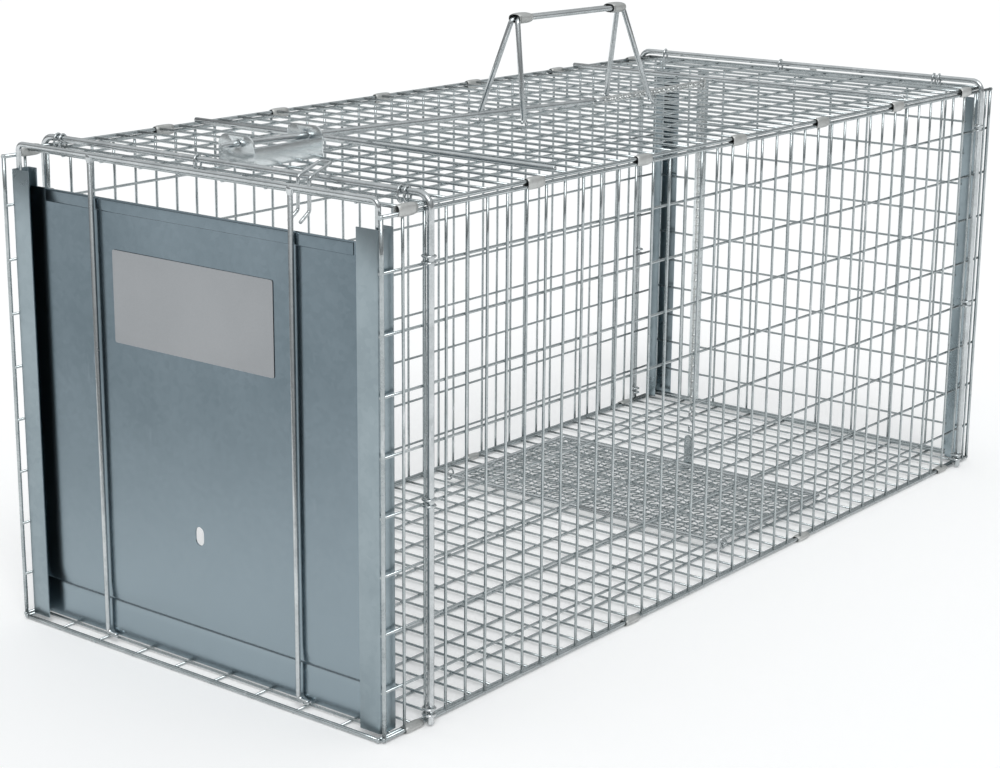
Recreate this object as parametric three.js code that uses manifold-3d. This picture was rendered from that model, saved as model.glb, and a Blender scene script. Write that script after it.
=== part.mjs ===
// A live catch trap: a galvanised wire mesh box with a drop door at the front,
// a treadle that a chain joins to the trigger rod, and a sliding gate at the rear.
// Millimetres. +Z is up, -Y is the door end, and X runs across the trap.
import * as THREE from "three";
import { mergeVertices } from "three/addons/utils/BufferGeometryUtils.js";
import Module from "manifold-3d";

const wasm = await Module();
wasm.setup();

// Driving dimensions. Heights are above the ground, lengths are from the front edge of the mesh.
const boxLength = 788;
const panelTop = 334; // top of the side panels
const panelOuter = 172; // half width over the side panels
const baseLift = 1.2; // the clips under the bottom edges carry the mesh
const barSize = 2.6; // one bar here weighs what the finer wires of the real mesh do
const acrossPitch = 60; // three pitches of the closer wires
const alongPitch = 76; // two pitches of the wider wires
const gap = 0.3; // between touching pieces

const hoopRadius = 2.4;
const frontHoopAt = 39;
const rearHoopAt = 760;
const frameWireRadius = 2;
const guardRadius = 1.8;
const guardsAt = [-91, 91];
const doorWiresAt = 6.3; // the frame wire and the guards stand in one plane, just in front of the door
const sideLip = -2; // front edge of the side panels
const floorLip = -3.9; // front edge of the floor

const channelOuter = 166; // half width over the door channels
const outerFlange = 17.5;
const innerFlange = 9;
const channelDepth = 15;
const sheet = 1;
const frontChannelAt = 1.9;
const channelTop = 324;

const doorBottom = 5.5;
const doorTop = 313;
const doorHalf = 164;
const doorAt = 9.6; // front face of the door sheet
const slotHeight = 96;

const roofBottom = panelTop + gap;
const roofTop = roofBottom + barSize;
const roofFront = 18;
const roofFirst = 61; // from the roof's front edge to its first inner bar
const roofRear = 769;

const rodRadius = 2.2;
const rodTip = [38, 352.7]; // length and height of the tip
const rodLength = 406;
const rodSlope = 0.0288;

const treadleFront = 435;
const treadleRear = 590;
const treadleHalf = 136;
const treadleHeight = 7.9;
const treadleBar = 4;

const chainAt = 598;
const chainRadius = 2.8;
const chainTop = 343;
const chainBottom = 57.6;

const handleFeet = [326, 490];
const handleTop = [342, 476];
const handleHeight = 412;

// Finishes.
const finish = (color, roughness, metalness) => ({ color, roughness, metalness });
const zincWire = finish(0xb4bcbf, 0.35, 0.9);
const zincSheet = finish(0x8798a3, 0.4, 0.85);
const clipMetal = finish(0x9a9da0, 0.55, 0.7);
const plate = finish(0xc8c6ca, 0.6, 0.0);

const trap = new THREE.Group();

function add(name, geometry, look, parent = trap) {
  const mesh = new THREE.Mesh(geometry, new THREE.MeshStandardMaterial(look));
  mesh.name = name;
  parent.add(mesh);
  return mesh;
}

// Joins and cuts.
function toSolid(geometry) {
  const bare = geometry.clone();
  bare.deleteAttribute("normal");
  bare.deleteAttribute("uv");
  const merged = mergeVertices(bare, 1e-4);
  return new wasm.Manifold(
    new wasm.Mesh({
      numProp: 3,
      vertProperties: merged.attributes.position.array,
      triVerts: new Uint32Array(merged.index.array),
    }),
  );
}

function toGeometry(solid) {
  const made = solid.getMesh();
  const geometry = new THREE.BufferGeometry();
  geometry.setAttribute("position", new THREE.BufferAttribute(made.vertProperties, 3));
  geometry.setIndex(new THREE.BufferAttribute(made.triVerts, 1));
  geometry.computeVertexNormals();
  return geometry;
}

function join(...geometries) {
  return toGeometry(geometries.map(toSolid).reduce((a, b) => a.add(b)));
}

// Planes for flat shapes: the shape's own x and y, then its depth.
const axisX = new THREE.Vector3(1, 0, 0);
const axisY = new THREE.Vector3(0, 1, 0);
const axisZ = new THREE.Vector3(0, 0, 1);
const sidePlane = new THREE.Matrix4().makeBasis(axisY, axisZ, axisX);
const frontPlane = new THREE.Matrix4().makeBasis(axisX, axisZ, axisY.clone().negate());

function flat(shape, depth, plane = null) {
  const geometry = new THREE.ExtrudeGeometry(shape, { depth, bevelEnabled: false });
  return plane ? geometry.applyMatrix4(plane) : geometry;
}

function outline(points) {
  return new THREE.Shape(points.map(([u, v]) => new THREE.Vector2(u, v)));
}

function rectangle(u0, v0, u1, v1) {
  return outline([[u0, v0], [u1, v0], [u1, v1], [u0, v1]]);
}

function box(low, high) {
  const size = high.map((value, i) => value - low[i]);
  const centre = high.map((value, i) => (value + low[i]) / 2);
  return new THREE.BoxGeometry(...size).translate(...centre);
}

// A wire bent through corner points: straight runs, joined by arcs.
class BentWire extends THREE.Curve {
  constructor(points) {
    super();
    this.points = points;
  }

  getPoint(t) {
    const at = t * (this.points.length - 1);
    const i = Math.min(Math.floor(at), this.points.length - 2);
    return this.points[i].clone().lerp(this.points[i + 1], at - i);
  }

  getUtoTmapping(u) {
    return u;
  }

  getTangent(t) {
    const last = this.points.length - 1;
    const i = Math.round(t * last);
    const here = this.points[i];
    const tangent = new THREE.Vector3();
    if (i > 0) tangent.add(here.clone().sub(this.points[i - 1]).normalize());
    if (i < last) tangent.add(this.points[i + 1].clone().sub(here).normalize());
    return tangent.normalize();
  }
}

function bentPath(corners, radius, arcSteps = 4) {
  const at = corners.map((corner) => new THREE.Vector3(...corner));
  const path = [at[0]];
  for (let i = 1; i < at.length - 1; i++) {
    const into = at[i].clone().sub(at[i - 1]).normalize();
    const out = at[i + 1].clone().sub(at[i]).normalize();
    const turn = into.angleTo(out);
    const side = out.clone().addScaledVector(into, -into.dot(out)).normalize();
    const start = at[i].clone().addScaledVector(into, -radius * Math.tan(turn / 2));
    for (let k = 0; k <= arcSteps; k++) {
      const angle = (turn * k) / arcSteps;
      path.push(
        start
          .clone()
          .addScaledVector(into, radius * Math.sin(angle))
          .addScaledVector(side, radius * (1 - Math.cos(angle))),
      );
    }
  }
  path.push(at[at.length - 1]);
  return path;
}

function round(radius, sides) {
  const points = [];
  for (let i = 0; i < sides; i++) {
    const angle = (2 * Math.PI * (i + 0.5)) / sides;
    points.push([radius * Math.cos(angle), radius * Math.sin(angle)]);
  }
  return outline(points);
}

function wire(points, radius, sides = 8) {
  return new THREE.ExtrudeGeometry(round(radius, sides), {
    steps: points.length - 1,
    extrudePath: new BentWire(points),
    bevelEnabled: false,
  });
}

function cut(whole, ...cutters) {
  return toGeometry(cutters.map(toSolid).reduce((a, b) => a.subtract(b), toSolid(whole)));
}

// A welded mesh panel: a flat lattice with a bar centred on each line given, the outermost as its border.
function lattice(uLines, vLines, plane = null) {
  const half = barSize / 2;
  const slab = box(
    [uLines[0] - half, vLines[0] - half, 0],
    [uLines.at(-1) + half, vLines.at(-1) + half, barSize],
  );
  const openings = [];
  for (let i = 0; i < uLines.length - 1; i++) {
    for (let j = 0; j < vLines.length - 1; j++) {
      openings.push(
        box(
          [uLines[i] + half, vLines[j] + half, -1],
          [uLines[i + 1] - half, vLines[j + 1] - half, barSize + 1],
        ),
      );
    }
  }
  const panel = cut(slab, ...openings);
  return plane ? panel.applyMatrix4(plane) : panel;
}

function lines(low, first, pitch, count, high) {
  const inner = Array.from({ length: count }, (_, i) => first + i * pitch);
  return [low + barSize / 2, ...inner, high - barSize / 2];
}

// The cage: two sides, floor and roof.
const sideLengths = lines(sideLip, 58, acrossPitch, 12, boxLength);
const sideHeights = lines(baseLift, 71, alongPitch, 4, panelTop);
const floorHalf = panelOuter - barSize - gap;
const widths = (half) => lines(-half, -133, alongPitch, 4, half);

for (const [name, at] of [["left_side_mesh", -panelOuter], ["right_side_mesh", panelOuter - barSize]]) {
  add(name, lattice(sideLengths, sideHeights, sidePlane).translate(at, 0, 0), zincWire);
}
const floorLengths = lines(floorLip, 58, acrossPitch, 12, boxLength);
add("floor_mesh", lattice(widths(floorHalf), floorLengths).translate(0, 0, baseLift), zincWire);
const roofLengths = lines(roofFront, roofFront + roofFirst, acrossPitch, 11, roofRear);
add("roof_mesh", lattice(widths(panelOuter), roofLengths).translate(0, 0, roofBottom), zincWire);

// The two hoops that stiffen the cage, the wire round the doorway and the two wires that guard the door.
const hoopStandoff = 2.2; // room for the bend to pass the cage's corner
const hoopSide = panelOuter + hoopStandoff + hoopRadius;
const hoopTop = roofTop + hoopStandoff + hoopRadius;
const hoopBend = 8;
for (const [name, at] of [["front_hoop", frontHoopAt], ["rear_hoop", rearHoopAt]]) {
  const corners = [
    [-hoopSide, at, baseLift],
    [-hoopSide, at, hoopTop],
    [hoopSide, at, hoopTop],
    [hoopSide, at, baseLift],
  ];
  add(name, wire(bentPath(corners, hoopBend), hoopRadius), zincWire);
}

const frameTop = 341;
const frameHalf = 162.5;
const frameLegsEnd = 300; // inside the channels
const frameBend = 5;
const frameCorners = [
  [-frameHalf, doorWiresAt, frameLegsEnd],
  [-frameHalf, doorWiresAt, frameTop],
  [frameHalf, doorWiresAt, frameTop],
  [frameHalf, doorWiresAt, frameLegsEnd],
];
add("front_frame_wire", wire(bentPath(frameCorners, frameBend), frameWireRadius), zincWire);

const guardTop = frameTop - frameWireRadius - gap;
const guardFootAt = baseLift + barSize + gap + guardRadius;
const guardFoot = 9; // turned along the floor
const guardBend = 3;
["left_guard_wire", "right_guard_wire"].forEach((name, i) => {
  const corners = [
    [guardsAt[i] + guardFoot, doorWiresAt, guardFootAt],
    [guardsAt[i], doorWiresAt, guardFootAt],
    [guardsAt[i], doorWiresAt, guardTop],
  ];
  add(name, wire(bentPath(corners, guardBend), guardRadius, 6), zincWire);
});

const braceHalf = 166;
for (const [name, at] of [["front_roof_brace", 174], ["rear_roof_brace", 640]]) {
  const height = roofTop + gap + frameWireRadius;
  const ends = [new THREE.Vector3(-braceHalf, at, height), new THREE.Vector3(braceHalf, at, height)];
  add(name, wire(ends, frameWireRadius), zincWire);
}

// Sheet channels that the door and the gate slide in. They open towards the middle, and the wide
// flange faces out of the trap.
const channelBottom = baseLift + barSize + gap;
function channel(side, face, inward) {
  const wide = channelOuter - outerFlange;
  const narrow = channelOuter - innerFlange;
  const points = [
    [wide, 0],
    [channelOuter, 0],
    [channelOuter, channelDepth],
    [narrow, channelDepth],
    [narrow, channelDepth - sheet],
    [channelOuter - sheet, channelDepth - sheet],
    [channelOuter - sheet, sheet],
    [wide, sheet],
  ];
  const shape = outline(points.map(([x, y]) => [x * side, face + y * inward]));
  return flat(shape, channelTop - channelBottom).translate(0, 0, channelBottom);
}
const rearChannelFace = boxLength - frontChannelAt;
add("left_door_channel", channel(-1, frontChannelAt, 1), zincSheet);
add("right_door_channel", channel(1, frontChannelAt, 1), zincSheet);
add("left_rear_channel", channel(-1, rearChannelFace, -1), zincSheet);
add("right_rear_channel", channel(1, rearChannelFace, -1), zincSheet);

// The drop door: a sheet with a hemmed top edge and the slot that the trigger rod holds it by.
function doorPanel() {
  const shape = rectangle(-doorHalf, doorBottom, doorHalf, doorTop);
  const slot = new THREE.Path();
  const slotRadius = 4;
  const slotRise = 2.5;
  slot.absarc(0, slotHeight + slotRise, slotRadius, 0, Math.PI, false);
  slot.absarc(0, slotHeight - slotRise, slotRadius, Math.PI, 2 * Math.PI, false);
  shape.holes.push(slot);
  const hemHalf = 140;
  const hemDeep = 9;
  const hemProud = 0.6;
  const panel = new THREE.ExtrudeGeometry(shape, { depth: sheet, bevelEnabled: false, curveSegments: 6 });
  panel.applyMatrix4(frontPlane).translate(0, doorAt + sheet, 0);
  const hem = box(
    [-hemHalf, doorAt - hemProud, doorTop - hemDeep],
    [hemHalf, doorAt + sheet + hemProud, doorTop],
  );
  return join(panel, hem);
}
add("door_panel", doorPanel(), zincSheet);

const labelCentre = [-1.5, 248];
const labelHalf = [73.5, 31.5];
const labelThick = 0.4;
add(
  "door_label",
  flat(
    rectangle(
      labelCentre[0] - labelHalf[0],
      labelCentre[1] - labelHalf[1],
      labelCentre[0] + labelHalf[0],
      labelCentre[1] + labelHalf[1],
    ),
    labelThick,
    frontPlane,
  ).translate(0, doorAt - gap, 0),
  plate,
);

// The latch behind the door's top edge: two legs that drop through the roof from a finger loop.
const lockAt = 86;
const lockHalf = 5;
const lockRadius = 1.2;
const lockPivot = [24, 341];
const lockHalfPath = (x) => [
  [x, 14.8, 317],
  [x, 23.5, 323],
  [x, lockPivot[0], 344],
  [x, 44, 351],
];
add(
  "door_lock",
  wire(
    bentPath([...lockHalfPath(lockAt - lockHalf), ...lockHalfPath(lockAt + lockHalf).reverse()], 2, 2),
    lockRadius,
    6,
  ),
  zincWire,
);

// The bracket that guides the trigger rod: two ears and the web that joins them, bent from one strip.
const rodHeight = (at) => rodTip[1] - (at - rodTip[0]) * rodSlope;
const bracketLow = roofTop + gap;
const bracketSides = [-18, 14];
const bracketEnds = [54, 118];
const bracketSheet = 1.5;
const rodClearance = 0.7;

function ear(at) {
  const corner = 7;
  const tall = 20.5;
  const [left, right] = bracketSides;
  const shape = new THREE.Shape();
  shape.moveTo(left, 0);
  shape.lineTo(right, 0);
  shape.lineTo(right, tall - corner);
  shape.absarc(right - corner, tall - corner, corner, 0, Math.PI / 2, false);
  shape.absarc(left + corner, tall - corner, corner, Math.PI / 2, Math.PI, false);
  const hole = new THREE.Path();
  hole.absarc(0, rodHeight(at) - bracketLow, rodRadius + rodClearance, 0, 2 * Math.PI, false);
  shape.holes.push(hole);
  const made = new THREE.ExtrudeGeometry(shape, {
    depth: bracketSheet,
    bevelEnabled: false,
    curveSegments: 5,
  });
  return made.applyMatrix4(frontPlane).translate(0, at + bracketSheet / 2, bracketLow);
}
const [frontEar, rearEar] = bracketEnds;
const webHeight = 13;
const web = box(
  [bracketSides[1] - bracketSheet, frontEar, bracketLow],
  [bracketSides[1], rearEar, bracketLow + webHeight],
);
add("trigger_bracket", join(ear(frontEar), ear(rearEar), web), zincSheet);

// The trigger rod: pointed at the front, with a hook for the chain at the rear.
const rodFrame = new THREE.Group();
rodFrame.position.set(0, rodTip[0], rodTip[1]);
rodFrame.rotation.x = -Math.atan(rodSlope);
trap.add(rodFrame);

function triggerRod() {
  const point = 9;
  const tipRadius = 0.9;
  const profile = [
    [0, 0],
    [tipRadius, 0],
    [rodRadius, point],
    [rodRadius, rodLength],
    [0, rodLength],
  ];
  const shaft = new THREE.LatheGeometry(
    profile.map(([radius, at]) => new THREE.Vector2(radius, at)),
    10,
  );
  const hookRadius = 4.2;
  const hookWire = 1.6;
  const turns = 8;
  const overlap = 4; // how far the hook's wire starts inside the rod
  const hook = [new THREE.Vector3(0, rodLength - overlap, 0)];
  for (let i = 0; i <= turns; i++) {
    const angle = -Math.PI / 2 + (1.6 * Math.PI * i) / turns;
    hook.push(
      new THREE.Vector3(
        hookRadius * Math.cos(angle),
        rodLength + hookRadius + hookRadius * Math.sin(angle),
        0,
      ),
    );
  }
  return join(shaft, wire(hook, hookWire, 6));
}
add("trigger_rod", triggerRod(), zincWire, rodFrame);

// The chain: along the roof from the rod's hook, then down through the roof to the treadle's rear edge.
const chainRun = [new THREE.Vector3(0, 456, 340.5), new THREE.Vector3(0, chainAt - chainRadius - gap, 340.3)];
add("chain_roof_run", wire(chainRun, chainRadius), zincWire);
const chainDrop = [new THREE.Vector3(0, chainAt, chainBottom), new THREE.Vector3(0, chainAt, chainTop)];
add("chain_drop", wire(chainDrop, chainRadius), zincWire);

function sHook() {
  const bend = 4;
  const upper = 52;
  const lower = 40;
  const hookWire = 1.2;
  const steps = 7;
  const points = [];
  for (let i = 0; i <= steps; i++) {
    const angle = THREE.MathUtils.degToRad(-20 + (220 * i) / steps);
    points.push(new THREE.Vector3(0, chainAt + bend * Math.cos(angle), upper + bend * Math.sin(angle)));
  }
  for (let i = 0; i <= steps; i++) {
    const angle = THREE.MathUtils.degToRad(20 - (220 * i) / steps);
    points.push(new THREE.Vector3(0, chainAt + bend * Math.cos(angle), lower + bend * Math.sin(angle)));
  }
  return wire(points, hookWire, 6);
}
add("s_hook", sHook(), zincWire);

// The link between the S-hook and the treadle: a strip with a foot under the treadle's rear bar.
const linkTop = 34.4;
const linkHalf = 4;
const linkSheet = 1.2;
const linkReach = 8; // of the foot, under the bar
const linkFace = treadleRear + treadleBar / 2 + 1;
const linkFoot = treadleHeight - treadleBar / 2 - 0.6;
const linkShape = outline([
  [linkFace, linkTop],
  [linkFace, linkFoot],
  [linkFace - linkReach, linkFoot],
  [linkFace - linkReach, linkFoot - linkSheet],
  [linkFace + linkSheet, linkFoot - linkSheet],
  [linkFace + linkSheet, linkTop],
]);
add("treadle_link", flat(linkShape, 2 * linkHalf, sidePlane).translate(-linkHalf, 0, 0), zincSheet);

// The treadle: a wire frame that holds a fine mesh plate, on two rings at the ends of its front bar.
const pivotEnd = 142;
function treadleFrame() {
  const half = treadleBar / 2;
  const low = treadleHeight - half;
  const high = treadleHeight + half;
  const across = (at, reach) => box([-reach, at - half, low], [reach, at + half, high]);
  const along = (from, to) => box([from, treadleFront, low], [to, treadleRear, high]);
  return join(
    across(treadleFront, pivotEnd),
    across(treadleRear, treadleHalf),
    along(-treadleHalf, -treadleHalf + treadleBar),
    along(treadleHalf - treadleBar, treadleHalf),
  );
}
add("treadle_frame", treadleFrame(), zincWire);
const plateInset = treadleBar / 2 + gap;
const plateHalf = 0.5; // half of its thickness
add(
  "treadle_mesh",
  box(
    [-treadleHalf + treadleBar + gap, treadleFront + plateInset, treadleHeight - plateHalf],
    [treadleHalf - treadleBar - gap, treadleRear - plateInset, treadleHeight + plateHalf],
  ),
  zincWire,
);

function ring(radius, thick) {
  const profile = [];
  const sides = 6;
  for (let i = 0; i <= sides; i++) {
    const angle = (2 * Math.PI * i) / sides;
    profile.push(new THREE.Vector2(radius + thick * Math.cos(angle), thick * Math.sin(angle)));
  }
  return new THREE.LatheGeometry(profile, 12).rotateZ(Math.PI / 2);
}
const ringAt = pivotEnd - 3;
const ringRadius = 4.6;
const ringWire = 0.8;
const ringLift = 0.7; // the bar hangs a little low in its rings
for (const [name, at] of [["left_treadle_ring", -ringAt], ["right_treadle_ring", ringAt]]) {
  add(name, ring(ringRadius, ringWire).translate(at, treadleFront, treadleHeight + ringLift), zincWire);
}

// The rear gate: a mesh panel with a stiffening strip and a knob on its top edge.
const gateHalf = 164;
const gateAt = rearChannelFace - channelDepth / 2;
const gateTop = 331;
add(
  "rear_gate_mesh",
  lattice(
    lines(-gateHalf, -114, alongPitch, 4, gateHalf),
    lines(doorBottom, 72, alongPitch, 4, gateTop),
    frontPlane,
  ).translate(0, gateAt + barSize / 2, 0),
  zincWire,
);
const stripAt = -116;
const stripHalf = 6;
const stripEnds = [8, 326];
const stripBack = gateAt - barSize / 2 - gap;
add(
  "rear_gate_strip",
  box([stripAt - stripHalf, stripBack - sheet, stripEnds[0]], [stripAt + stripHalf, stripBack, stripEnds[1]]),
  zincSheet,
);
const knobRadius = 4;
const knobTall = 9;
add(
  "rear_gate_knob",
  new THREE.CylinderGeometry(knobRadius, knobRadius, knobTall, 10)
    .rotateX(Math.PI / 2)
    .rotateY(Math.PI / 10)
    .rotateX(Math.PI / 2)
    .translate(0, gateAt, gateTop + gap + knobTall / 2),
  clipMetal,
);

// The carrying handle: two bails that lean together, and the sleeves that hold their top bars side by side.
const bailRadius = 2;
const bailBend = 3;
const bailsApart = 0.4; // half of the space between the top bars
for (const [name, side] of [["left_handle_bail", -1], ["right_handle_bail", 1]]) {
  const foot = 22 * side;
  const top = (bailRadius + bailsApart) * side;
  const corners = [
    [foot, handleFeet[0], roofTop + bailRadius],
    [top, handleTop[0], handleHeight],
    [top, handleTop[1], handleHeight],
    [foot, handleFeet[1], roofTop + bailRadius],
  ];
  add(name, wire(bentPath(corners, bailBend), bailRadius), zincWire);
}

const sleeveLong = 16;
const sleeveInset = 2.9; // from the corner of the bails to the sleeve
function sleeve(at) {
  const [halfWide, halfTall] = [6.4, 4];
  const wall = 1.6;
  const shape = rectangle(-halfWide, -halfTall, halfWide, halfTall);
  shape.holes.push(rectangle(wall - halfWide, wall - halfTall, halfWide - wall, halfTall - wall));
  return flat(shape, sleeveLong, frontPlane).translate(0, at + sleeveLong / 2, handleHeight);
}
const sleeveFromCorner = sleeveInset + sleeveLong / 2;
add("front_handle_sleeve", sleeve(handleTop[0] + sleeveFromCorner), clipMetal);
add("rear_handle_sleeve", sleeve(handleTop[1] - sleeveFromCorner), clipMetal);

// Crimped clips along the long edges, each a folded sleeve round two wires.
const clipLong = 16;
const clipSheet = 1;
const topGrip = 4.5; // how far a top clip reaches in from the panel's outer face
const bottomGrip = 0.6; // how far a bottom clip reaches past the floor's edge bar

function clip(points, at) {
  return flat(outline(points), clipLong, frontPlane).translate(0, at + clipLong / 2, 0);
}

function topClip(side, at) {
  const inner = panelOuter - topGrip;
  const outer = panelOuter + gap + clipSheet;
  const low = panelTop - barSize - gap;
  const high = roofTop + gap;
  const points = [
    [inner, low - clipSheet],
    [outer, low - clipSheet],
    [outer, high + clipSheet],
    [inner, high + clipSheet],
    [inner, high],
    [outer - clipSheet, high],
    [outer - clipSheet, low],
    [inner, low],
  ];
  return clip(points.map(([x, z]) => [x * side, z]), at);
}

function bottomClip(side, at) {
  const inner = floorHalf - barSize - bottomGrip;
  const outer = panelOuter + gap + clipSheet;
  const high = baseLift + barSize + gap;
  const low = baseLift - gap;
  const points = [
    [inner, 0],
    [outer, 0],
    [outer, high + clipSheet],
    [inner, high + clipSheet],
    [inner, high],
    [outer - clipSheet, high],
    [outer - clipSheet, low],
    [inner, low],
  ];
  return clip(points.map(([x, z]) => [x * side, z]), at);
}
const topClips = [22, 146, 266, 385, 502, 620, 738];
const bottomClips = [27, 266, 502, 738];
for (const [word, side] of [["left", -1], ["right", 1]]) {
  topClips.forEach((at, i) => add(`${word}_top_clip_${i + 1}`, topClip(side, at), clipMetal));
  bottomClips.forEach((at, i) => add(`${word}_bottom_clip_${i + 1}`, bottomClip(side, at), clipMetal));
}

// The origin is under the middle of the whole trap, the floor's lip included.
trap.position.y = -(boxLength + floorLip) / 2;

export default trap;
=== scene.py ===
import math

import bmesh
import bpy
from mathutils import Matrix, Vector, noise


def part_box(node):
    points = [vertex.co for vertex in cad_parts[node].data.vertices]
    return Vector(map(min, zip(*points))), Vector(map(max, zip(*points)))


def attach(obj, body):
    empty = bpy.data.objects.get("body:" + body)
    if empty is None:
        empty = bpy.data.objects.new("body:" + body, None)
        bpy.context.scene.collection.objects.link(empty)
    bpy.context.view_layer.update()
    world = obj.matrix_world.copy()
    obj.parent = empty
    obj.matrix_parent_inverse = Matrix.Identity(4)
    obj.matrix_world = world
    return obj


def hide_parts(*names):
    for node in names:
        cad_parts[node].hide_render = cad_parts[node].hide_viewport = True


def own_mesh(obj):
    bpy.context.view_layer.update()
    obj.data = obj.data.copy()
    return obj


# A wire mesh live trap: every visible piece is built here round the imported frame.
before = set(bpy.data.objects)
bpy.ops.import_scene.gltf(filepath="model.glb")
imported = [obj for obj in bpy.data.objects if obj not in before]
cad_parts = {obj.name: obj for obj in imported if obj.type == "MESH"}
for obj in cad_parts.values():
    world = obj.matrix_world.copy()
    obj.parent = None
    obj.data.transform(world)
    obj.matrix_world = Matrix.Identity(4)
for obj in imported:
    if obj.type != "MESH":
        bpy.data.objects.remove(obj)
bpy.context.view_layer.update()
mm = 0.001

sideLow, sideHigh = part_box("right_side_mesh")
roofLow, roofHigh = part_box("roof_mesh")
floorLow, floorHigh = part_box("floor_mesh")
meshLength = 788 * mm
frontY = sideHigh.y - meshLength  # lengths are measured back from here


def spot(x, y, z):
    # millimetres: across, back from the front, up from the ground
    return Vector((x * mm, frontY + y * mm, z * mm))


def put(tree, kind, wires=None, **settings):
    node = tree.nodes.new(kind)
    for key, value in settings.items():
        setattr(node, key, value)
    for socket, value in (wires or {}).items():
        target = node.inputs[socket]
        for item in value if isinstance(value, list) else [value]:
            if isinstance(item, bpy.types.NodeSocket):
                tree.links.new(item, target)
            else:
                target.default_value = item
    return node


def out(tree, kind, wires=None, **settings):
    return put(tree, kind, wires, **settings).outputs[0]


def calc(tree, operation, first, second=0.0, third=0.0):
    return out(tree, "ShaderNodeMath", {0: first, 1: second, 2: third}, operation=operation)


def point(tree, x=0.0, y=0.0, z=0.0):
    return out(tree, "ShaderNodeCombineXYZ", {0: x, 1: y, 2: z})


socketKinds = {
    "float": "NodeSocketFloat",
    "int": "NodeSocketInt",
    "vector": "NodeSocketVector",
    "object": "NodeSocketObject",
    "material": "NodeSocketMaterial",
    "geometry": "NodeSocketGeometry",
}


def newGroup(name, kind, takes, gives):
    tree = bpy.data.node_groups.new(name, kind)
    for label, socket in takes:
        tree.interface.new_socket(label, in_out="INPUT", socket_type=socketKinds[socket])
    for label, socket in gives:
        tree.interface.new_socket(label, in_out="OUTPUT", socket_type=socketKinds[socket])
    return tree, put(tree, "NodeGroupInput").outputs


def closeTree(tree, geometry, material):
    painted = out(tree, "GeometryNodeSetMaterial", {"Geometry": geometry, "Material": material})
    put(tree, "NodeGroupOutput", {0: painted})
    return tree


def growMesh(name, tree, values, base=None):
    # run a tree on a base mesh and keep what it makes as a plain mesh
    holder = bpy.data.objects.new(name + "_holder", base or bpy.data.meshes.new(name + "_base"))
    bpy.context.scene.collection.objects.link(holder)
    modifier = holder.modifiers.new("grow", "NODES")
    modifier.node_group = tree
    for item in tree.interface.items_tree:
        if item.item_type == "SOCKET" and item.in_out == "INPUT" and item.name in values:
            modifier[item.identifier] = values[item.name]
    bpy.context.view_layer.update()
    graph = bpy.context.evaluated_depsgraph_get()
    mesh = bpy.data.meshes.new_from_object(holder.evaluated_get(graph), depsgraph=graph)
    bpy.data.objects.remove(holder)
    return mesh


def spangleGroup():
    # the crystal pattern of hot dip zinc, with a soft cloud over it
    takes = [
        ("Vector", "vector"), ("Crystal Scale", "float"),
        ("Cloud Scale", "float"), ("Cloud Share", "float"),
    ]
    tree, given = newGroup("zincSpangle", "ShaderNodeTree", takes, [("Tone", "float")])
    crystal = put(
        tree, "ShaderNodeTexVoronoi",
        {"Vector": given["Vector"], "Scale": given["Crystal Scale"]},
        feature="F1",
    )
    face = out(tree, "ShaderNodeSeparateColor", {0: crystal.outputs["Color"]})
    cloud = out(
        tree,
        "ShaderNodeTexNoise",
        {"Vector": given["Vector"], "Scale": given["Cloud Scale"], "Detail": 4.0, "Roughness": 0.55},
    )
    cloudy = out(tree, "ShaderNodeMapRange", {0: cloud, 1: 0.3, 2: 0.7})
    tone = out(tree, "ShaderNodeMix", {0: given["Cloud Share"], 2: face, 3: cloudy}, data_type="FLOAT")
    put(tree, "NodeGroupOutput", {"Tone": tone})
    return tree


def scuffGroup():
    # fine rubbed lines, stretched along one direction
    takes = [("Vector", "vector"), ("Scale", "float"), ("Stretch", "vector"), ("Cover", "float")]
    tree, given = newGroup("rubbedLines", "ShaderNodeTree", takes, [("Mask", "float")])
    drawn = out(
        tree, "ShaderNodeVectorMath", {0: given["Vector"], 1: given["Stretch"]}, operation="MULTIPLY"
    )
    lines = out(
        tree, "ShaderNodeTexNoise",
        {"Vector": drawn, "Scale": given["Scale"], "Detail": 6.0, "Roughness": 0.7},
    )
    patches = out(tree, "ShaderNodeTexNoise", {"Vector": given["Vector"], "Scale": 18.0, "Detail": 2.0})
    both = calc(tree, "MULTIPLY", lines, patches)
    floorLevel = calc(tree, "SUBTRACT", 0.45, calc(tree, "MULTIPLY", given["Cover"], 0.3))
    mask = out(
        tree, "ShaderNodeMapRange", {0: both, 1: floorLevel, 2: calc(tree, "ADD", floorLevel, 0.12)}
    )
    put(tree, "NodeGroupOutput", {"Mask": mask})
    return tree


def grainGroup():
    # the slight orange peel and grit of a dipped surface
    takes = [("Vector", "vector"), ("Scale", "float"), ("Grit", "float")]
    tree, given = newGroup("dippedGrain", "ShaderNodeTree", takes, [("Height", "float")])
    swell = out(
        tree, "ShaderNodeTexNoise", {"Vector": given["Vector"], "Scale": given["Scale"], "Detail": 3.0}
    )
    fineScale = calc(tree, "MULTIPLY", given["Scale"], 7.0)
    fine = out(tree, "ShaderNodeTexNoise", {"Vector": given["Vector"], "Scale": fineScale, "Detail": 2.0})
    height = calc(tree, "MULTIPLY_ADD", fine, given["Grit"], swell)
    put(tree, "NodeGroupOutput", {"Height": height})
    return tree


spangle = spangleGroup()
rubbed = scuffGroup()
grain = grainGroup()


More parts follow.
